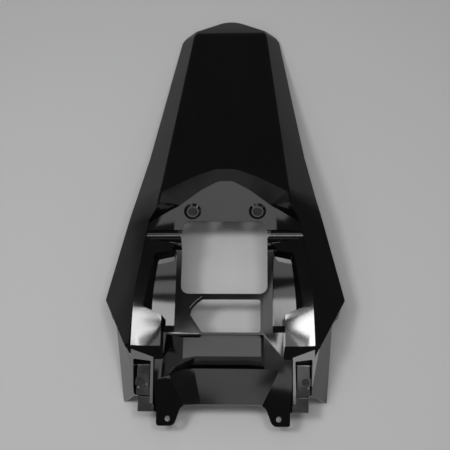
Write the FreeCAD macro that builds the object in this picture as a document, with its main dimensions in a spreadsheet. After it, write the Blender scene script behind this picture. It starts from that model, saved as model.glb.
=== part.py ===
import FreeCAD, Part
import os
import re
import Sketcher

# Rear mudguard, moulded in one piece of even wall.
# X runs across, Y towards the tail and Z up. While the shape is built, Y is measured from
# the line through the two cross ridges and Z from the lower corners of the side skirts.
# The finished piece then moves along Y, so that its origin is under the middle of its box.
#
# The wall is the difference of two solids. The crown has every face that is seen from
# above, and the core has the same faces one wall further in.

Vector = FreeCAD.Vector
ACROSS = FreeCAD.Rotation(Vector(1, 0, 0), 90)
ALONG = FreeCAD.Rotation(Vector(1, 1, 1), 120)

document = FreeCAD.newDocument("rear_mudguard")
sheet = document.addObject("Spreadsheet::Sheet", "Sizes")

SIZES = {
    "wall": 3.0,
    # room that the building blocks keep below, above and beside the finished piece
    "below": 180.0,
    "beyond": 30.0,
    # how far a block reaches into its neighbour, so that they share no face
    "overlap": 1.0,
    # tail
    "tail_tip_y": 360.0,
    "tail_tip_half": 8.6,
    "tail_shoulder_half": 47.5,
    "tail_shoulder_y": 336.0,
    "tail_corner_half": 69.0,
    "tail_corner_y": 328.0,
    "tail_corner_radius": 16.0,
    "tail_shoulder_radius": 50.0,
    "tail_tip_radius": 30.0,
    # outline along the sides
    "waist_half": 102.0,
    "waist_y": 118.0,
    "hip_half": 115.3,
    "hip_y": 56.0,
    "wing_half": 149.3,
    "wing_y": -75.4,
    "wing_radius": 5.0,
    "cut_half": 110.8,
    "cut_y": -152.0,
    # deck
    "deck_height": 95.0,
    "deck_fall": 14.4,
    "deck_bend_y": 40.0,
    "deck_bend_radius": 240.0,
    "crease_half": 85.0,
    "crease_taper": 0.107,
    "crease_radius": 9.0,
    "facet_angle": 41.0,
    "lip_y": 327.0,
    "lip_fall": 30.0,
    "lip_radius": 40.0,
    # tray inside the rim
    "tray_level": 72.0,
    "tray_half": 60.0,
    "tray_slope": 12.5,
    "tray_draft": 20.0,
    "shelf_bend_y": -90.0,
    "shelf_bend_radius": 400.0,
    "shelf_fall": 9.0,
    "dome_draft": 48.0,
    "dome_radius": 28.0,
    "dome_y": 75.5,
    "dome_half": 9.0,
    "dome_side_half": 31.0,
    "dome_side_y": 63.0,
    "plate_half": 57.4,
    "plate_y": 42.2,
    "fold_half": 92.0,
    "fold_y": 16.0,
    "rim_y": 85.0,
    "rim_side_half": 31.0,
    "rim_side_y": 70.0,
    "rim_corner_half": 76.6,
    "rim_corner_y": 46.6,
    "rim_low_half": 96.0,
    "rim_low_y": 17.0,
    "flank_half": 107.4,
    "flank_y": -72.0,
    "flank_front_half": 111.5,
    "flank_step": 1.5,
    "shelf_front_y": -139.0,
    "brow_fall": 41.0,
    # sunk centre
    "well_level": 62.0,
    "well_half": 62.0,
    "well_rear_y": -14.0,
    "well_draft": 12.0,
    "well_cove": 2.0,
    # pads beside it
    "pad_level": 60.0,
    "pad_slope": 6.0,
    "pad_bend_y": -58.0,
    "pad_bend_radius": 200.0,
    "pad_rear_fall": 6.0,
    "pad_front_fall": 9.0,
    "pad_root_level": 50.0,
    "pad_draft": 20.0,
    "pad_cove": 2.5,
    "pad_inner_half": 60.0,
    "pad_rear_y": -21.3,
    "pad_rear_half": 81.6,
    "pad_rear_outer_y": -27.8,
    "pad_outer_half": 86.1,
    "pad_notch_y": -95.1,
    "pad_end_half": 70.9,
    "pad_end_y": -102.1,
    "pad_top_level": 84.0,
    "pad_top_rear_y": -16.0,
    "pad_top_rear_half": 87.0,
    "pad_top_rear_outer_y": -23.0,
    "pad_top_outer_half": 99.0,
    "pad_top_end_half": 77.0,
    # cross ridges
    "ridge_radius": 8.0,
    "ridge_level": 73.0,
    "ridge_end_half": 100.0,
    # upper bolts
    "bolt_half": 41.0,
    "bolt_y": 34.1,
    "bolt_hole": 11.8,
    "bolt_seat": 22.0,
    "bolt_seat_floor": 15.0,
    "bolt_seat_depth": 1.6,
    # large window
    "window_half": 53.5,
    "window_rear_y": 21.0,
    "window_front_y": -71.3,
    "window_radius": 10.0,
    "window_notch_half": 58.0,
    "window_notch_rear_y": 5.0,
    "window_notch_y": 0.0,
    "window_notch_front_y": -4.5,
    # small window
    "hatch_right": 45.0,
    "hatch_left": -41.0,
    "hatch_left_y": -98.0,
    "hatch_rear_y": -78.0,
    "hatch_front_y": -119.6,
    "hatch_rear_left": -26.0,
    "hatch_step_x": -31.4,
    "hatch_step_y": -82.0,
    "hatch_bend_x": -39.0,
    "hatch_bend_y": -90.5,
    "hatch_front_left": -26.3,
    "hatch_radius": 3.0,
    "hatch_ledge": 3.5,
    "hatch_ledge_depth": 1.2,
    # front floor
    "floor_half": 84.0,
    "floor_rear_y": -120.0,
    "floor_front_level": 47.0,
    "floor_front_y": -205.0,
    "floor_break_y": -178.0,
    "lug_fall": 20.0,
    "fan_rise": 5.0,
    "fan_rear_y": -164.0,
    "fan_rear_half": 34.0,
    "fan_rear_foot_half": 68.0,
    "fan_front_half": 25.0,
    "fan_front_foot_half": 46.0,
    "fan_front_rise": 2.5,
    # front edge and lugs
    "front_edge_half": 50.5,
    "lug_half": 66.9,
    "lug_y": -219.8,
    "lug_hole": 6.4,
    "lug_outer_half": 80.5,
    "lug_tip_y": -228.0,
    "lug_inner_half": 59.5,
    "lug_radius": 8.0,
    "lug_corner_radius": 3.0,
    "lug_root_radius": 9.0,
    # bridge
    "bridge_level": 74.0,
    "bridge_left": -47.0,
    "bridge_right": 46.0,
    "bridge_rear_y": -129.4,
    "bridge_front_y": -152.0,
    "bridge_foot_level": 50.0,
    "bridge_foot_left": -90.0,
    "bridge_foot_right": 51.3,
    "bridge_foot_rear_y": -115.5,
    "bridge_foot_front_y": -165.3,
    "bridge_foot_end_x": -78.0,
    "bridge_foot_end_y": -176.0,
    # legs beside the front floor
    "leg_half": 84.0,
    "leg_level": 60.0,
    "leg_y": -149.5,
    "leg_fall": 12.0,
    "leg_lean": 22.0,
    "leg_draft": 24.0,
    "leg_front_y": -205.0,
    "pocket_level": 49.0,
    "pocket_rim": 4.0,
    "pocket_rear_y": -156.0,
    "pocket_width": 17.0,
    "pocket_draft": 6.0,
    "pocket_cove": 1.5,
    "side_hole_inset": 10.8,
    "side_boss": 15.0,
    "side_boss_rise": 2.0,
    "side_hole_y": -178.0,
    "side_hole": 8.6,
    "tab_level": 43.0,
    "tab_rear_y": -195.0,
    "tab_front_y": -212.5,
    "tab_width": 18.5,
    # skirts
    "skirt_lean": 69.7,
    "skirt_toe_in": 17.0,
    "skirt_corner_half": 126.6,
    "skirt_front_y": -194.0,
    "skirt_rear_y": -86.0,
    "skirt_bump_level": 43.0,
    "skirt_bump_y": -98.0,
    "skirt_notch_y": -107.0,
    "skirt_notch_level": 57.0,
}
for row, (name, size) in enumerate(SIZES.items(), start=1):
    sheet.set(f"A{row}", name)
    sheet.set(f"B{row}", str(size))
    sheet.setAlias(f"B{row}", name)
document.recompute()


def value(name):
    """A size as a number."""
    return float(sheet.get(name))


# Two places this near each other are the same place.
CLOSE = 0.01


def worded(expression):
    """Puts the sheet's name before every alias that an expression uses."""
    return re.sub(r"[a-z_]+", lambda word: ("Sizes." if word[0] in SIZES else "") + word[0],
                  expression)


def bind(item, **properties):
    """Binds properties to expressions of the sheet; two underscores stand for a dot."""
    for name, expression in properties.items():
        item.setExpression(name.replace("__", "."), worded(expression))
    return item


def outline(name, corners, level="0", turn=None, axis="z"):
    """Closed polygon whose corners are bound to the sheet, in a plane across one axis."""
    sketch = document.addObject("Sketcher::SketchObject", name)
    if turn:
        sketch.Placement = FreeCAD.Placement(Vector(), turn)
    corners = [(worded(a), worded(b)) for a, b in corners]
    points = [Vector(float(sketch.evalExpression(a)), float(sketch.evalExpression(b)), 0)
              for a, b in corners]
    count = len(points)
    sketch.addGeometry([Part.LineSegment(points[i], points[(i + 1) % count])
                        for i in range(count)], False)
    rules = [Sketcher.Constraint("Coincident", i, 2, (i + 1) % count, 1)
             for i in range(count)]
    for i, point in enumerate(points):
        rules.append(Sketcher.Constraint("DistanceX", -1, 1, i, 1, point.x))
        rules.append(Sketcher.Constraint("DistanceY", -1, 1, i, 1, point.y))
    sketch.addConstraint(rules)
    for i, (a, b) in enumerate(corners):
        sketch.setExpression(f"Constraints[{count + 2 * i}]", a)
        sketch.setExpression(f"Constraints[{count + 2 * i + 1}]", b)
    bind(sketch, **{f"Placement__Base__{axis}": level})
    return sketch


def prism(name, profile, length, draft="0", back="0"):
    """Solid drawn out from a flat profile; with a draft it widens on the way."""
    item = document.addObject("Part::Extrusion", name)
    item.Base = profile
    item.DirMode = "Normal"
    item.Solid = True
    return bind(item, LengthFwd=length, TaperAngle=draft, LengthRev=back)


def grown(name, profile, amount):
    """The same profile, larger by an amount all round."""
    item = document.addObject("Part::Offset2D", name)
    item.Source = profile
    item.Join = "Intersection"
    return bind(item, Value=amount)


def mirrored(name, source):
    """The same solid on the other side of the middle plane."""
    item = document.addObject("Part::Mirroring", name)
    item.Source = source
    item.Normal = Vector(1, 0, 0)
    return item


def both_sides(source):
    return [source, mirrored(source.Name + "_left", source)]


def joined(name, solids):
    item = document.addObject("Part::MultiFuse", name)
    item.Shapes = solids
    return item


def shared(name, solids):
    item = document.addObject("Part::MultiCommon", name)
    item.Shapes = solids
    return item


def without(name, base, tool):
    item = document.addObject("Part::Cut", name)
    item.Base = base
    item.Tool = tool
    return item


def rounded(name, base, radius, wanted):
    """Fillets the edges that a test picks."""
    document.recompute()
    size = value(radius) if isinstance(radius, str) else radius
    item = document.addObject("Part::Fillet", name)
    item.Base = base
    item.Edges = [(index, size, size) for index, edge in enumerate(base.Shape.Edges, start=1)
                  if wanted(edge)]
    return item


def rises(edge):
    heights = [corner.Z for corner in edge.Vertexes]
    return max(heights) - min(heights) > value("wall")


def foot(level):
    return lambda edge: rises(edge) or all(abs(corner.Z - level) < CLOSE
                                           for corner in edge.Vertexes)


def upright(*corners):
    """Picks the upright edges over corners of a plan, on both sides."""
    spots = [(abs(value(x)), value(y)) for x, y in corners]
    return lambda edge: rises(edge) and any(
        abs(abs(edge.CenterOfMass.x) - x) + abs(edge.CenterOfMass.y - y) < CLOSE
        for x, y in spots)


def half_mirror(corners):
    """Corners of the right-hand half, then the same ones on the left in reverse."""
    return corners + [("-(" + a + ")", b) for a, b in reversed(corners)]


# The growth that keeps the wall even between two drafted prisms.
def growth(draft):
    return f"wall * tan(45deg - {draft} * 0.5deg )"


def hollow(name, floor, level, draft, cove=None, top=None, top_level=None):
    """A hollow with drafted walls: the tool for the crown and the one for the core.

    With a second outline for its top, each wall leans by itself."""
    tools = []
    for part, depth in (("cut", "0"), ("core", "wall")):
        low = outline(f"{name}_{part}_low", floor, f"{level} - {depth}")
        if depth != "0":
            low = grown(f"{name}_{part}_low_wide", low, growth(draft))
        if top:
            high = outline(f"{name}_{part}_high", top, top_level)
            if depth != "0":
                high = grown(f"{name}_{part}_high_wide", high, f"wall / cos( {draft} * 1deg )")
            body = document.addObject("Part::Loft", f"{name}_{part}")
            body.Sections = [low, high]
            body.Solid = True
            body.Ruled = True
        else:
            body = document.addObject("Part::Extrusion", f"{name}_{part}")
            body.Base = low
            body.DirMode = "Custom"
            body.Dir = Vector(0, 0, 1)
            body.Solid = True
            bind(body, LengthFwd=f"deck_height + wall - ( {level} - {depth} )", TaperAngle=draft)
        if cove:
            document.recompute()
            extra = value("wall") if depth != "0" else 0
            body = rounded(f"{name}_{part}_soft", body, value(cove) + extra,
                           foot(value(level) - extra))
        tools.append(body)
    return tools


def slab(name, profile, dx="0", dy="0", dz="0", *, length, inset=None):
    """Profile drawn out along a direction."""
    item = document.addObject("Part::Extrusion", name)
    item.Base = grown(name + "_inset", profile, inset) if inset else profile
    item.DirMode = "Custom"
    item.Solid = True
    return bind(item, Dir__x=dx, Dir__y=dy, Dir__z=dz, LengthFwd=length)


far = "wing_half + beyond"


def is_across(edge):
    return abs(edge.tangentAt(edge.FirstParameter).x) > 0.5


def sheeted(name, path, side, bends, climb="0", inset=None):
    """Block on one side of a sheet that runs across X, bends along Y and climbs along X.

    The path gives Y and the level over the middle plane."""
    profile = outline(f"{name}_profile", [*path, (path[-1][0], side), (path[0][0], side)],
                      "0", ALONG, "x")
    body = slab(name, profile, "1", dz=climb, inset=inset,
                length=f"( {far} ) * 2 * sqrt( 1 + ( {climb} ) ^ 2 )")
    bind(body, Placement__Base__x=f"-( {far} )", Placement__Base__z=f"-( {far} ) * ( {climb} )")
    for place, radius in bends:
        size = value(radius) - (value("wall") if inset else 0)
        body = rounded(f"{name}_{place}", body, size, lambda edge: is_across(edge)
                       and abs(edge.CenterOfMass.y - value(place)) < value("wall") * 2)
    return body


# Deck: a level front, a falling tail and a steeper lip. The middle is one such sheet and the
# facet beyond each crease is another, which climbs to the middle plane.
tail_end = "tail_tip_y + beyond"
front_end = "cut_y - beyond"
lip_level = "deck_height - tan( deck_fall * 1deg ) * ( lip_y - deck_bend_y )"
deck_path = [(tail_end, f"{lip_level} - tan( lip_fall * 1deg ) * ( {tail_end} - lip_y )"),
             ("lip_y", lip_level), ("deck_bend_y", "deck_height"), (front_end, "deck_height")]
deck_bends = [("deck_bend_y", "deck_bend_radius"), ("lip_y", "lip_radius")]
facet_climb = "tan( facet_angle * 1deg )"
facet_path = [(y, f"{level} + {facet_climb} * ( crease_half - crease_taper * ( {y} ) )")
              for y, level in deck_path]


def deck(name, inset=None, tilted_inset=None):
    top = sheeted(f"{name}_top", deck_path, "-( below )", deck_bends, inset=inset)
    facet = sheeted(f"{name}_facet", facet_path, "-( below )", deck_bends,
                    f"-( {facet_climb} )", tilted_inset)
    block = shared(name, [top, *both_sides(facet)])
    return rounded(f"{name}_soft", block, "crease_radius",
                   lambda edge: edge.CenterOfMass.z > 0 and not is_across(edge)
                   and abs(edge.CenterOfMass.x) < value("waist_half"))


deck_crown = deck("deck_crown")
deck_core = deck("deck_core", "-( wall )", f"-( wall / cos( facet_angle * 1deg ) )")

# Outline of the deck. The core runs past the free edges and stops one wall inside the
# slanted cut of each wing, where a riser joins the deck to the skirt.
wing = [("tail_tip_half", "tail_tip_y"), ("tail_shoulder_half", "tail_shoulder_y"),
        ("tail_corner_half", "tail_corner_y"), ("waist_half", "waist_y"), ("hip_half", "hip_y"),
        ("wing_half", "wing_y"), ("cut_half", "cut_y"),
        ("pad_end_half", "cut_y"), ("pad_end_half", "floor_rear_y")]
deck_plan = prism("deck_plan", outline("deck_outline", half_mirror(wing), "-( below )"),
                  "below * 2")
for name, corner in (("tail_tip", ("tail_tip_half", "tail_tip_y")),
                     ("tail_shoulder", ("tail_shoulder_half", "tail_shoulder_y")),
                     ("tail_corner", ("tail_corner_half", "tail_corner_y")),
                     ("wing", ("wing_half", "wing_y"))):
    deck_plan = rounded(f"deck_plan_{name}", deck_plan, f"{name}_radius", upright(corner))
cut_angle = "atan2(wing_y - cut_y; wing_half - cut_half)"
retreat = f"wall / sin({cut_angle})"
inner_wing = [("wing_half + beyond", "tail_tip_y + beyond"),
              ("wing_half + beyond",
               f"cut_y + ( {far} - cut_half + {retreat} ) * tan({cut_angle})"),
              ("cut_half - wall", f"cut_y + ( {retreat} - wall ) * tan({cut_angle})"),
              ("pad_end_half + wall", f"cut_y + ( {retreat} - wall ) * tan({cut_angle})"),
              ("pad_end_half + wall", "floor_rear_y + wall")]
core_plan = prism("core_plan", outline("core_outline", half_mirror(inner_wing), "-( below )"),
                  "below * 2")

# Tray: a drafted hollow with a rounded dome at its rear. Its floor is level in the middle,
# climbs to both rims and falls a little towards the front.
shelf_climb = "tan( tray_slope * 1deg )"
tray_rear = "rim_y + beyond"
shelf_drop = "tan( shelf_fall * 1deg ) * ( shelf_bend_y - ( {} ) )".format
tray_path = [(tray_rear, "tray_level"), ("shelf_bend_y", "tray_level"),
             (front_end, f"tray_level - {shelf_drop(front_end)}")]
shelf_path = [(y, f"{level} - {shelf_climb} * tray_half") for y, level in tray_path]
shelf_bends = [("shelf_bend_y", "shelf_bend_radius")]
tray_floor = [("dome_side_half", "dome_side_y"), ("plate_half", "plate_y"),
              ("fold_half", "fold_y"), ("flank_half", "flank_y"),
              ("flank_front_half", front_end)]
tray_rim = [("rim_side_half", "rim_side_y"), ("rim_corner_half", "rim_corner_y"),
            ("rim_low_half", "rim_low_y"), ("flank_half + flank_step", "flank_y"),
            ("flank_front_half + flank_step", front_end)]
dome_plan = [("dome_half", "dome_y"), ("dome_side_half", "dome_side_y"),
             ("plate_half", "plate_y"), ("plate_half", "fold_y")]


def tray(name, inset, tilted_inset, bowl, dome):
    middle = sheeted(f"{name}_middle", tray_path, "below", shelf_bends, inset=inset)
    shelf = sheeted(f"{name}_shelf", shelf_path, "below", shelf_bends, shelf_climb,
                    tilted_inset)
    return shared(name, [middle, *both_sides(shelf), joined(f"{name}_bowl", [bowl, dome])])


bowl_cut, bowl_core = hollow("bowl", half_mirror(tray_floor), "tray_level", "tray_draft",
                             top=half_mirror(tray_rim), top_level="deck_height + overlap")
domes = []
for dome, extra in zip(hollow("dome", half_mirror(dome_plan), "tray_level", "dome_draft"),
                       (0, value("wall"))):
    domes.append(rounded(f"{dome.Name}_soft", dome, value("dome_radius") + extra,
                         lambda edge: rises(edge)
                         and abs(edge.CenterOfMass.x) < value("dome_side_half") * 0.7))
tray_cut = tray("tray_cut", None, None, bowl_cut, domes[0])
tray_core = tray("tray_core", "wall", "wall / cos( tray_slope * 1deg )", bowl_core, domes[1])

# Brow: the slope at the front end of each shelf.
brow_level = f"tray_level - {shelf_drop('shelf_front_y')}"
brow = outline("brow", [("shelf_front_y", brow_level),
                        ("shelf_front_y - beyond * 2",
                         f"{brow_level} - beyond * 2 * tan( brow_fall * 1deg )"),
                        ("shelf_front_y - beyond * 2", "below"), ("shelf_front_y", "below")],
               "tray_half", ALONG, "x")
brow_cut = slab("brow_cut", brow, "1", dz=shelf_climb, length="wing_half")
brow_core = slab("brow_core", brow, "1", dz=shelf_climb, length="wing_half", inset="wall")

# Sunk centre and the pads on both sides of it.
well_floor = [("well_half", "well_rear_y"), ("well_half", "cut_y - beyond")]
well_cut, well_core = hollow("well", half_mirror(well_floor), "well_level", "well_draft",
                             "well_cove")
pad_floor = [("pad_inner_half", "cut_y - beyond"), ("pad_end_half", "cut_y - beyond"),
             ("pad_end_half", "pad_end_y"), ("pad_outer_half", "pad_notch_y"),
             ("pad_rear_half", "pad_rear_outer_y"), ("pad_inner_half", "pad_rear_y")]
pad_top = [("pad_inner_half", "cut_y - beyond"), ("pad_top_end_half", "cut_y - beyond"),
           ("pad_top_end_half", "pad_end_y + wall"), ("pad_top_outer_half", "pad_notch_y + wall"),
           ("pad_top_rear_half", "pad_top_rear_outer_y"), ("pad_inner_half", "pad_top_rear_y")]
pad_rise = "tan( pad_slope * 1deg ) * pad_inner_half"
pad_middle = f"pad_level - {pad_rise}"
pad_path = [
    ("rim_y", f"{pad_middle} - tan( pad_rear_fall * 1deg ) * ( rim_y - pad_bend_y )"),
    ("pad_bend_y", pad_middle),
    (front_end, f"{pad_middle} - tan( pad_front_fall * 1deg ) * ( pad_bend_y - ( {front_end} ) )")]
pad_walls = hollow("pad", pad_floor, "pad_root_level", "pad_draft", "pad_cove",
                   pad_top, "pad_top_level")
pad_cut, pad_core = [
    shared(f"{walls.Name}_above", [walls, sheeted(
        f"{walls.Name}_sheet", pad_path, "below", [("pad_bend_y", "pad_bend_radius")],
        "tan( pad_slope * 1deg )", inset)])
    for walls, inset in zip(pad_walls, (None, "wall / cos( pad_slope * 1deg )"))]


# Front floor: one plate that falls from the sunk centre and more steeply at the lugs.
floor_slope = "( well_level - floor_front_level ) / ( floor_rear_y - floor_front_y )"
floor_break_level = f"well_level - ( floor_rear_y - floor_break_y ) * {floor_slope}"
lug_drop = "tan( lug_fall * 1deg ) * ( floor_break_y - floor_front_y + beyond * 2 )"
floor_profile = outline("floor_profile",
                        [("floor_rear_y + wall * 3", "-( below )"),
                         ("floor_rear_y + wall * 3", "well_level - wall"),
                         ("floor_rear_y", "well_level"),
                         ("floor_break_y", floor_break_level),
                         ("floor_front_y - beyond * 2", f"{floor_break_level} - {lug_drop}"),
                         ("floor_front_y - beyond * 2", "-( below )")],
                        "-( floor_half )", ALONG, "x")
floor_crown = slab("floor_crown", floor_profile, "1", length="floor_half * 2")
floor_core = slab("floor_core", floor_profile, "1", length="floor_half * 2", inset="-( wall )")

# Fan: three raised facets on the front floor, wide at the rear and narrow in front.
fan_level = f"well_level - ( floor_rear_y - fan_rear_y ) * {floor_slope}"


def fan(name, down, inward):
    rear = outline(f"{name}_rear", half_mirror(
        [(f"fan_rear_half - {inward}", f"{fan_level} + fan_rise - {down}"),
         (f"fan_rear_foot_half - {inward}", f"{fan_level} - {down}"),
         (f"fan_rear_foot_half - {inward}", "-( below )")]), f"fan_rear_y - {inward}", ACROSS, "y")
    front = outline(f"{name}_front", half_mirror(
        [(f"fan_front_half - {inward}", f"floor_front_level + fan_front_rise - {down}"),
         (f"fan_front_foot_half - {inward}", f"floor_front_level - {down}"),
         (f"fan_front_foot_half - {inward}", "-( below )")]),
        "floor_front_y - wall", ACROSS, "y")
    body = document.addObject("Part::Loft", name)
    body.Sections = [rear, front]
    body.Solid = True
    body.Ruled = True
    return body


fan_crown = fan("fan_crown", "0", "0")
fan_core = fan("fan_core", "wall", "wall * 0.5")

# Bridge: the raised bar between the small window and the front floor.
bridge_foot = [("bridge_foot_left", "bridge_foot_rear_y"),
               ("bridge_foot_right", "bridge_foot_rear_y"),
               ("bridge_foot_right", "bridge_foot_front_y"),
               ("bridge_left + wall * 3", "bridge_foot_front_y"),
               ("bridge_foot_end_x", "bridge_foot_end_y")]
bridge_top = [("bridge_left", "bridge_rear_y"), ("bridge_right", "bridge_rear_y"),
              ("bridge_right", "bridge_front_y"), ("bridge_left + wall * 5", "bridge_front_y"),
              ("bridge_left", "bridge_front_y - wall")]


def bridge(name, down, inset):
    low = outline(f"{name}_low", bridge_foot, f"bridge_foot_level - {down}")
    high = outline(f"{name}_high", bridge_top, f"bridge_level - {down}")
    if inset:
        low = grown(f"{name}_low_inset", low, inset)
        high = grown(f"{name}_high_inset", high, inset)
    body = document.addObject("Part::Loft", name)
    body.Sections = [low, high]
    body.Solid = True
    body.Ruled = True
    return body


bridge_crown = bridge("bridge_crown", "0", None)
bridge_core = bridge("bridge_core", "wall", "-( wall * 0.8 )")

# Legs and skirts. A leg's top leans inwards and falls to the front, its inner wall is
# drafted, and outside it ends at the steep skirt.
leg_profile = outline("leg_profile",
                      [("leg_half - tan( leg_draft * 1deg ) * ( leg_level + below )", "-( below )"),
                       ("leg_half", "leg_level"),
                       (far, f"leg_level + tan( leg_lean * 1deg ) * ( {far} - leg_half )"),
                       (far, "-( below )")],
                      "leg_y", ACROSS, "y")
leg_way = {"dy": "-1", "dz": "-( tan( leg_fall * 1deg ) )"}
skirt_run = "1 / tan( skirt_lean * 1deg )"
skirt_profile = outline("skirt_profile",
                        [("0", "-( below )"),
                         (f"skirt_corner_half + below * {skirt_run}", "-( below )"),
                         (f"skirt_corner_half - below * {skirt_run}", "below"), ("0", "below")],
                        "skirt_front_y", ACROSS, "y")
skirt_way = {"dx": "tan( skirt_toe_in * 1deg )", "dy": "1"}
side_plan = [("0", "shelf_front_y"), ("cut_half - overlap", "shelf_front_y"),
             ("cut_half - overlap", "cut_y"),
             (f"cut_half - overlap + ( skirt_rear_y - cut_y ) / tan({cut_angle})", "skirt_rear_y"),
             (far, "skirt_rear_y"), (far, "tab_front_y - beyond"),
             ("0", "tab_front_y - beyond")]
inner_half = f"cut_half - {retreat} - wall * 0.1"
side_core_plan = [("0", "shelf_front_y"), ("cut_half - overlap", "shelf_front_y"),
                  ("cut_half - overlap",
                   f"cut_y + ( cut_half - overlap - ( {inner_half} ) ) * tan({cut_angle})"),
                  (f"{inner_half} + ( skirt_rear_y + wall - cut_y ) / tan({cut_angle})",
                   "skirt_rear_y + wall"),
                  (far, "skirt_rear_y + wall"), (far, "tab_front_y - beyond"),
                  ("0", "tab_front_y - beyond")]


def side(name, plan, inset):
    """Solid under one leg and its skirt, within a plan."""
    leg = slab(f"{name}_leg", leg_profile, **leg_way, length=far, inset=inset)
    bind(leg, Placement__Base__y="skirt_rear_y + beyond - leg_y",
         Placement__Base__z="( skirt_rear_y + beyond - leg_y ) * tan( leg_fall * 1deg )")
    skirt = slab(f"{name}_skirt", skirt_profile, **skirt_way, length="below", inset=inset)
    bind(skirt, Placement__Base__y="-( beyond )",
         Placement__Base__x="-( beyond ) * tan( skirt_toe_in * 1deg )")
    block = prism(f"{name}_plan", outline(f"{name}_outline", plan, "-( below )"), "below * 2")
    return shared(name, [leg, skirt, block])


side_crown = side("side_crown", side_plan, None)
side_core = side("side_core", side_core_plan, "-( wall )")

# Pocket in each leg, open to the front, and the lower tab before it.
pocket_outer = "leg_half + pocket_rim + pocket_width"
side_hole_half = "leg_half + pocket_rim + side_hole_inset"
pocket_plan = [("leg_half + pocket_rim", "tab_front_y - beyond"),
               (pocket_outer, "tab_front_y - beyond"), (pocket_outer, "pocket_rear_y"),
               ("leg_half + pocket_rim", "pocket_rear_y")]
pocket_cut, pocket_core = hollow("pocket", pocket_plan, "pocket_level", "pocket_draft",
                                 "pocket_cove")
tab_plan = [("leg_half - overlap", "tab_front_y - beyond"), (far, "tab_front_y - beyond"),
            (far, "tab_rear_y"),
            ("leg_half + pocket_rim", "tab_rear_y"), ("leg_half + pocket_rim", "leg_front_y"),
            ("leg_half - overlap", "leg_front_y")]
tab_cut, tab_core = hollow("tab", tab_plan, "tab_level", "pocket_draft")

# Cross ridges: half-round bars that sink into the climbing shelves.
def bar(name, radius, start, end):
    item = document.addObject("Part::Cylinder", name)
    item.Placement = FreeCAD.Placement(Vector(), FreeCAD.Rotation(Vector(0, 1, 0), 90))
    return bind(item, Radius=radius, Height=f"{end} - ( {start} )", Placement__Base__x=start,
                Placement__Base__z="ridge_level")


ridge_crown = bar("ridge_crown", "ridge_radius", "window_half", "ridge_end_half")
ridge_core_bar = bar("ridge_core_bar", "ridge_radius - wall", "window_half + wall",
                     "ridge_end_half - wall")
ridge_core_slot = document.addObject("Part::Box", "ridge_core_slot")
bind(ridge_core_slot, Length="ridge_end_half - window_half - wall * 2",
     Width="( ridge_radius - wall ) * 2", Height="wall * 3",
     Placement__Base__x="window_half + wall",
     Placement__Base__y="-( ridge_radius - wall )", Placement__Base__z="ridge_level - wall * 3")


def drum(name, radius, x, y, low, high):
    """Upright cylinder."""
    item = document.addObject("Part::Cylinder", name)
    return bind(item, Radius=radius, Height=f"{high} - ( {low} )", Placement__Base__x=x,
                Placement__Base__y=y, Placement__Base__z=low)


def cone(name, down, wider):
    """Sunk seat: a cone that opens upwards, from its floor to just above the plate."""
    item = document.addObject("Part::Cone", name)
    steep = "( bolt_seat - bolt_seat_floor ) * 0.5 / bolt_seat_depth"
    return bind(item, Radius1=f"bolt_seat_floor * 0.5 + {wider}",
                Radius2=f"bolt_seat_floor * 0.5 + {wider} + ( bolt_seat_depth + wall ) * {steep}",
                Height="bolt_seat_depth + wall", Placement__Base__x="bolt_half",
                Placement__Base__y="bolt_y",
                Placement__Base__z=f"tray_level - bolt_seat_depth - {down}")


seat_cut = cone("seat_cut", "0", "0")
seat_core = cone("seat_core", "wall", "wall * 0.4")
side_boss = drum("side_boss", "side_boss * 0.5", side_hole_half, "side_hole_y",
                 "pocket_level - wall * 0.5", "pocket_level + side_boss_rise")

# Windows and holes, cut straight down.
window_plan = [("window_half", "window_rear_y"), ("window_half", "window_notch_rear_y"),
               ("window_notch_half", "window_notch_rear_y"),
               ("window_notch_half", "window_notch_y"),
               ("window_half", "window_notch_front_y"), ("window_half", "window_front_y")]
window = prism("window", outline("window_outline", half_mirror(window_plan)), "below")
window = rounded("window_soft", window, "window_radius",
                 upright(("window_half", "window_rear_y"), ("window_half", "window_front_y")))
hatch_outline = outline("hatch_outline", [
    ("hatch_right", "hatch_rear_y"), ("hatch_rear_left", "hatch_rear_y"),
    ("hatch_step_x", "hatch_step_y"), ("hatch_bend_x", "hatch_bend_y"),
    ("hatch_left", "hatch_left_y"), ("hatch_front_left", "hatch_front_y"),
    ("hatch_right", "hatch_front_y")])
hatch = rounded("hatch_soft", prism("hatch", hatch_outline, "below"), "hatch_radius", rises)
hatch_ledge = prism("hatch_ledge", grown("hatch_ledge_outline", hatch_outline, "hatch_ledge"),
                    "below")
bind(hatch_ledge, Placement__Base__z="well_level - hatch_ledge_depth")
holes = []
for name, x, y, size in (("bolt", "bolt_half", "bolt_y", "bolt_hole"),
                         ("side", side_hole_half, "side_hole_y", "side_hole"),
                         ("lug", "lug_half", "lug_y", "lug_hole")):
    holes += both_sides(drum(f"{name}_bore", f"{size} / 2", x, y, "0", "deck_height"))

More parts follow.
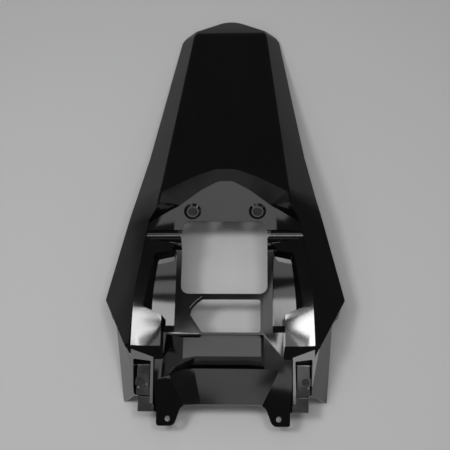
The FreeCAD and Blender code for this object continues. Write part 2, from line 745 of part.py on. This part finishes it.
# Outline of the front and the skirts' lower edges, which trim the open sides.
front = [(f"{far} + beyond", "tail_tip_y + beyond * 2"), (f"{far} + beyond", "skirt_front_y"),
         ("leg_half + tab_width", "skirt_front_y"), ("leg_half + tab_width", "tab_front_y"),
         ("lug_outer_half", "tab_front_y"), ("lug_outer_half", "lug_tip_y"),
         ("lug_inner_half", "lug_tip_y"), ("front_edge_half", "floor_front_y")]
front_plan = prism("front_plan", outline("front_outline", half_mirror(front)), "below")
for radius, corner in (("lug_corner_radius", ("lug_outer_half", "lug_tip_y")),
                       ("lug_radius", ("lug_inner_half", "lug_tip_y")),
                       ("lug_root_radius", ("front_edge_half", "floor_front_y"))):
    front_plan = rounded(f"front_plan_{radius}", front_plan, radius, upright(corner))
hem = outline("hem", [("skirt_rear_y + beyond", "-( below * 2 )"),
                      ("skirt_rear_y + beyond", "skirt_bump_level - wall * 2"),
                      ("skirt_rear_y", "skirt_bump_level"), ("skirt_bump_y", "skirt_bump_level"),
                      ("skirt_notch_y", "skirt_notch_level"), ("skirt_front_y", "0"),
                      ("tab_front_y - beyond * 2", "0"),
                      ("tab_front_y - beyond * 2", "-( below * 2 )")],
              f"{pocket_outer} - overlap", ALONG, "x")
hem_cut = slab("hem_cut", hem, "1", length="below")

# The wall is what the crown has and the core doesn't. The openings and the outline trim it.
crown = shared("deck_under_crown", [deck_crown, deck_plan])
crown = without("deck_hollowed", crown, joined("hollows", [
    tray_cut, *both_sides(brow_cut), well_cut, *both_sides(pad_cut)]))
crown = joined("crown_with_front", [crown, floor_crown, fan_crown, bridge_crown,
                                    *both_sides(side_crown), *both_sides(ridge_crown)])
crown = without("crown_pocketed", crown, joined("pockets", [
    *both_sides(pocket_cut), *both_sides(tab_cut), *both_sides(seat_cut), hatch_ledge]))
crown = joined("crown", [crown, *both_sides(side_boss)])
core = shared("deck_under_core", [deck_core, core_plan])
core = without("core_hollowed", core, joined("core_hollows", [
    tray_core, *both_sides(brow_core), well_core, *both_sides(pad_core)]))
core = joined("core_with_front", [core, floor_core, fan_core, bridge_core,
                                  *both_sides(side_core), *both_sides(ridge_core_bar),
                                  *both_sides(ridge_core_slot)])
core = without("core", core, joined("core_pockets", [
    *both_sides(pocket_core), *both_sides(tab_core), *both_sides(seat_core)]))
shell = shared("shell", [without("wall_all_over", crown, core), front_plan])
mudguard = without("mudguard", shell, joined("openings", [
    window, hatch, *holes, *both_sides(hem_cut)]))
bind(mudguard, Placement__Base__y="-( tail_tip_y + lug_tip_y ) / 2")
mudguard.Label = "mudguard"
document.recompute()

for item in document.Objects:
    if "Invalid" in item.State or "Error" in item.State:
        raise ValueError(f"{item.Label} has the state {item.State}")
for item in [mudguard]:
    if item.Shape.isNull() or not item.Shape.isValid():
        raise ValueError(f"{item.Label} has no valid shape")

os.makedirs("parts", exist_ok=True)
for item in [mudguard]:
    item.Shape.exportStep(f"parts/{item.Label}.step")
    box = item.Shape.BoundBox
    print(f"{item.Label}: {box.XLength:.1f} x {box.YLength:.1f} x {box.ZLength:.1f} mm,",
          f"{len(item.Shape.Solids)} solid, {item.Shape.Volume / 1000:.0f} cm3")
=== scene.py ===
# %% [markdown]
# # A rear mudguard in gloss black plastic
#
# This lesson turns a bare solid into the moulding that the photograph shows. The solid already
# has the right shape and size, so the work here is on what catches light: the small radius on
# each edge, the surface of the plastic and the light around it.
#
# All lengths are in metres. X runs across the piece, Y towards its tail and Z up.

# %% Load the solid
import math

import bmesh
import bpy
from mathutils import Matrix, Vector


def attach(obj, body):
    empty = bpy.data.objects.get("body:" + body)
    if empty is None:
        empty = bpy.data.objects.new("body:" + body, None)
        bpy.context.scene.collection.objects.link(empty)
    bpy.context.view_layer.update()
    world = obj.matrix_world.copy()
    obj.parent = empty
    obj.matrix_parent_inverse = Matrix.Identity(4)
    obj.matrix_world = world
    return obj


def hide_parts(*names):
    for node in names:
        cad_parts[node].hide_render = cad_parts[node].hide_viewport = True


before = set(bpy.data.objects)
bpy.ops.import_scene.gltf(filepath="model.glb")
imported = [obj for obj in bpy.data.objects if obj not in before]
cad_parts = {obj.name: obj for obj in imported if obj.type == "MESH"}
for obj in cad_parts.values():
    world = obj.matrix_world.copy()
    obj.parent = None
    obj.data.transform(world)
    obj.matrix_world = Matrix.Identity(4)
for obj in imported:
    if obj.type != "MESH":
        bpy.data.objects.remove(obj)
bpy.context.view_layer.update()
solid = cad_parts["mudguard"]
print("The solid has", len(solid.data.polygons), "triangles")

# %% [markdown]
# ## One skin with soft edges
#
# A moulding tool is cut by a ball-nosed mill and polished, so no edge of the plastic is truly
# sharp. Each one carries a radius of about a millimetre, which shows as a thin bright line.
# The solid's mesh is loose triangles. A copy of it is joined into one skin, its flat faces
# become single faces again, and the bevel then runs along the real edges only.

# %% Make the skin
EDGE_RADIUS = 0.0012
EDGE_STEPS = 3
FLAT = math.radians(0.6)
SHARP = math.radians(24)
# How much the large faces count when the normals are evened out, up to 100.
LARGE_FACE_WEIGHT = 90


def joined_skin(source):
    """Mesh in code from the solid's triangles, with its flat faces in one piece each."""
    skin = bmesh.new()
    skin.from_mesh(source.data)
    bmesh.ops.remove_doubles(skin, verts=skin.verts, dist=0.00001)
    bmesh.ops.dissolve_limit(skin, angle_limit=FLAT, use_dissolve_boundaries=False,
                             verts=skin.verts, edges=skin.edges, delimit=set())
    return skin


def soften(skin):
    """Rounds the edges at which two faces meet at a clear angle."""
    corners = [edge for edge in skin.edges
               if edge.is_manifold and edge.calc_face_angle(0) > SHARP]
    bmesh.ops.bevel(skin, geom=corners, offset=EDGE_RADIUS, offset_type="OFFSET",
                    affect="EDGES", segments=EDGE_STEPS, profile=0.5, material=-1,
                    clamp_overlap=True, loop_slide=True, harden_normals=False)
    return len(corners)


skin = joined_skin(solid)
rounded_edges = soften(skin)
for face in skin.faces:
    face.smooth = True
mesh = bpy.data.meshes.new("mudguard_skin")
skin.to_mesh(mesh)
skin.free()
mudguard = bpy.data.objects.new("mudguard_skin", mesh)
bpy.context.scene.collection.objects.link(mudguard)
weighted = mudguard.modifiers.new("Face weights", "WEIGHTED_NORMAL")
weighted.keep_sharp = True
weighted.weight = LARGE_FACE_WEIGHT
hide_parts("mudguard")
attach(mudguard, "root")
print("Rounded", rounded_edges, "edges; the skin has", len(mesh.polygons), "faces")

# %% [markdown]
# ## The surface of moulded plastic
#
# A glossy moulding looks like a mirror, but a soft one. Its broad faces sink and swell by
# hundredths of a millimetre as the plastic shrinks, which bends the reflections. Close up it
# has a fine skin like an orange's, and the plastic's flow leaves faint bands along the piece.
# One node group holds all three and gives back a height and two masks.

# %% Make the node group
SINK_SCALE = 14.0
PEEL_SCALE = 520.0
HAZE_SCALE = 26.0
PEEL_SHARE = 0.012
FLOW_STRETCH = (42.0, 6.0, 30.0)
PLASTIC_IOR = 1.49
SPECULAR = 0.5
# Where each black lies along the bands of flow, and its colour.
BLACKS = ((0.3, (0.0013, 0.0013, 0.0015, 1)), (0.75, (0.0024, 0.0024, 0.0026, 1)))
# Range of the haze, and the roughness that it stands for.
HAZE_RANGE = (0.3, 0.7)
ROUGHNESS = (0.09, 0.13)
SWELL_STRENGTH = 0.6
SWELL_DEPTH = 0.0012


def add(tree, kind, place, **values):
    """Adds a node and sets the sockets that are named."""
    node = tree.nodes.new(kind)
    node.location = place
    for name, setting in values.items():
        node.inputs[name.replace("_", " ")].default_value = setting
    return node


def moulded_surface():
    """Node group with the height of the surface, the bands of flow and the haze."""
    group = bpy.data.node_groups.new("Moulded surface", "ShaderNodeTree")
    for name in ("Height", "Flow", "Haze"):
        group.interface.new_socket(name, in_out="OUTPUT", socket_type="NodeSocketFloat")
    where = group.nodes.new("ShaderNodeTexCoord")
    where.location = (-900, 0)
    sink = add(group, "ShaderNodeTexNoise", (-500, 300), Scale=SINK_SCALE, Detail=1.0)
    peel = add(group, "ShaderNodeTexNoise", (-500, 100), Scale=PEEL_SCALE, Detail=2.0)
    stretch = group.nodes.new("ShaderNodeMapping")
    stretch.location = (-700, -150)
    stretch.inputs["Scale"].default_value = FLOW_STRETCH
    flow = add(group, "ShaderNodeTexNoise", (-500, -150), Scale=1.0, Detail=4.0,
               Distortion=0.6)
    haze = add(group, "ShaderNodeTexNoise", (-500, -400), Scale=HAZE_SCALE, Detail=5.0)
    fine = group.nodes.new("ShaderNodeMath")
    fine.operation = "MULTIPLY_ADD"
    fine.location = (-200, 200)
    fine.inputs[1].default_value = PEEL_SHARE
    result = group.nodes.new("NodeGroupOutput")
    result.location = (100, 0)
    for texture in (sink, peel, haze):
        group.links.new(where.outputs["Object"], texture.inputs["Vector"])
    group.links.new(where.outputs["Object"], stretch.inputs["Vector"])
    group.links.new(stretch.outputs["Vector"], flow.inputs["Vector"])
    group.links.new(peel.outputs["Fac"], fine.inputs[0])
    group.links.new(sink.outputs["Fac"], fine.inputs[2])
    group.links.new(fine.outputs["Value"], result.inputs["Height"])
    group.links.new(flow.outputs["Fac"], result.inputs["Flow"])
    group.links.new(haze.outputs["Fac"], result.inputs["Haze"])
    return group


def gloss_black():
    """Material of the whole moulding."""
    material = bpy.data.materials.new("Gloss black plastic")
    material.use_nodes = True
    tree = material.node_tree
    shader = tree.nodes["Principled BSDF"]
    shader.inputs["IOR"].default_value = PLASTIC_IOR
    shader.inputs["Specular IOR Level"].default_value = SPECULAR
    surface = tree.nodes.new("ShaderNodeGroup")
    surface.node_tree = moulded_surface()
    surface.location = (-900, 0)
    tint = tree.nodes.new("ShaderNodeValToRGB")
    tint.location = (-600, 250)
    for stop, (position, black) in zip(tint.color_ramp.elements, BLACKS):
        stop.position = position
        stop.color = black
    polish = tree.nodes.new("ShaderNodeMapRange")
    polish.location = (-600, -50)
    for socket, setting in zip(("From Min", "From Max", "To Min", "To Max"),
                               HAZE_RANGE + ROUGHNESS):
        polish.inputs[socket].default_value = setting
    bump = tree.nodes.new("ShaderNodeBump")
    bump.location = (-300, -250)
    bump.inputs["Strength"].default_value = SWELL_STRENGTH
    bump.inputs["Distance"].default_value = SWELL_DEPTH
    tree.links.new(surface.outputs["Flow"], tint.inputs["Fac"])
    tree.links.new(surface.outputs["Haze"], polish.inputs["Value"])
    tree.links.new(surface.outputs["Height"], bump.inputs["Height"])
    tree.links.new(tint.outputs["Color"], shader.inputs["Base Color"])
    tree.links.new(polish.outputs["Result"], shader.inputs["Roughness"])
    tree.links.new(bump.outputs["Normal"], shader.inputs["Normal"])
    return material


plastic = gloss_black()
mudguard.data.materials.clear()
mudguard.data.materials.append(plastic)
print("The plastic has", len(plastic.node_tree.nodes), "nodes")

# %% [markdown]
# ## Camera
#
# The photograph looks steeply down at the piece from in front of its lugs. The camera's place
# comes from the angles of that view and its distance from a point near the piece's middle.

# %% Place the camera
TARGET = Vector((-0.00034, -0.046, 0.060))
ELEVATION = math.radians(69)
AZIMUTH = math.radians(8.535)
ROLL = math.radians(-8.066)
DISTANCE = 1.12
LENS = 70.55
SENSOR = 36

away = Vector((math.cos(ELEVATION) * math.sin(AZIMUTH),
               -math.cos(ELEVATION) * math.cos(AZIMUTH), math.sin(ELEVATION)))
right = Vector((math.cos(AZIMUTH), math.sin(AZIMUTH), 0))
up = away.cross(right)
turned_right = right * math.cos(ROLL) + up * math.sin(ROLL)
turned_up = up * math.cos(ROLL) - right * math.sin(ROLL)
camera = bpy.data.objects.new("Camera", bpy.data.cameras.new("Camera"))
camera.data.lens = LENS
camera.data.sensor_width = SENSOR
turn = Matrix((turned_right, turned_up, away)).transposed()
camera.matrix_world = Matrix.Translation(TARGET + away * DISTANCE) @ turn.to_4x4()
bpy.context.scene.collection.objects.link(camera)
bpy.context.scene.camera = camera
print("The camera is at", [round(number, 3) for number in camera.location])

# %% [markdown]
# ## Floor and light
#
# Black gloss shows its surroundings rather than its own colour, so each panel of light is
# placed where one group of faces mirrors it. A dim panel behind the tail greys the plate with
# the bolt holes. The next one greys the raised bar, and the dark gap between the two keeps the
# frames around the windows dark. Smaller and brighter panels light the pads, the fan of the
# front floor and the front ends of the shelves. A wide and very dim one in front sets the wall
# behind the plate off from the tail, which mirrors an empty part of the room and stays almost
# black. The facets and the skirts mirror the pale floor.

# %% Build the stage
FLOOR_TONES = (0.46, 0.49)
FLOOR_REACH = 6.0
FLOOR_ROUGHNESS = 0.9
CENTRE = Vector((0, 0, 0.06))
# Name, place, width, depth and power of each panel.
PANELS = [
    ("Rear panel", (-0.05, 0.72, 1.60), 0.60, 0.52, 1.65),
    ("Middle panel", (-0.05, 0.10, 1.60), 0.50, 0.28, 1.0),
    ("Pad panel", (-0.05, -0.215, 1.58), 0.52, 0.16, 2.2),
    ("Fan panel", (-0.25, -0.52, 1.57), 1.70, 0.30, 2.0),
    ("Left shelf panel", (0.34, -0.24, 1.55), 0.26, 0.32, 5.2),
    ("Right shelf panel", (-0.52, -0.24, 1.50), 0.26, 0.32, 8.0),
    ("Left leg panel", (0.71, -0.46, 1.20), 0.24, 0.24, 0.6),
    ("Right leg panel", (-0.91, -0.46, 1.20), 0.24, 0.24, 1.0),
    ("Front panel", (0.0, -1.35, 0.85), 3.20, 0.50, 2.0),
    ("Left fill", (-1.5, 0.15, 0.75), 1.40, 0.90, 1.3),
    ("Right fill", (1.5, 0.15, 0.75), 1.40, 0.90, 1.3),
]
ROOM_GLOW = 0.075
ROOM_COLOUR = (0.95, 0.97, 1.0, 1)


def softbox(name, place, width, depth, watts):
    """Rectangular soft light that looks at the piece."""
    lamp = bpy.data.lights.new(name, "AREA")
    lamp.shape = "RECTANGLE"
    lamp.size = width
    lamp.size_y = depth
    lamp.energy = watts
    box = bpy.data.objects.new(name, lamp)
    box.location = place
    box.rotation_euler = (CENTRE - Vector(place)).to_track_quat("-Z", "Y").to_euler()
    bpy.context.scene.collection.objects.link(box)


def pale_floor():
    """Matt material with faint cloudy tones."""
    material = bpy.data.materials.new("Pale floor")
    material.use_nodes = True
    tree = material.node_tree
    shader = tree.nodes["Principled BSDF"]
    shader.inputs["Roughness"].default_value = FLOOR_ROUGHNESS
    speckle = add(tree, "ShaderNodeTexNoise", (-600, 0), Scale=3.0, Detail=3.0)
    tone = tree.nodes.new("ShaderNodeValToRGB")
    tone.location = (-350, 0)
    for stop, grey in zip(tone.color_ramp.elements, FLOOR_TONES):
        stop.color = (grey, grey, grey, 1)
    tree.links.new(speckle.outputs["Fac"], tone.inputs["Fac"])
    tree.links.new(tone.outputs["Color"], shader.inputs["Base Color"])
    return material


plane = bmesh.new()
bmesh.ops.create_grid(plane, x_segments=8, y_segments=8, size=FLOOR_REACH)
floor_mesh = bpy.data.meshes.new("floor")
plane.to_mesh(floor_mesh)
plane.free()
floor_mesh.materials.append(pale_floor())
floor = bpy.data.objects.new("floor", floor_mesh)
bpy.context.scene.collection.objects.link(floor)
for panel in PANELS:
    softbox(*panel)

world = bpy.data.worlds.new("Studio")
world.use_nodes = True
world.node_tree.nodes["Background"].inputs["Color"].default_value = ROOM_COLOUR
world.node_tree.nodes["Background"].inputs["Strength"].default_value = ROOM_GLOW
bpy.context.scene.world = world
bpy.context.scene.view_settings.view_transform = "Standard"
print("The stage has", len(PANELS), "panels of light")
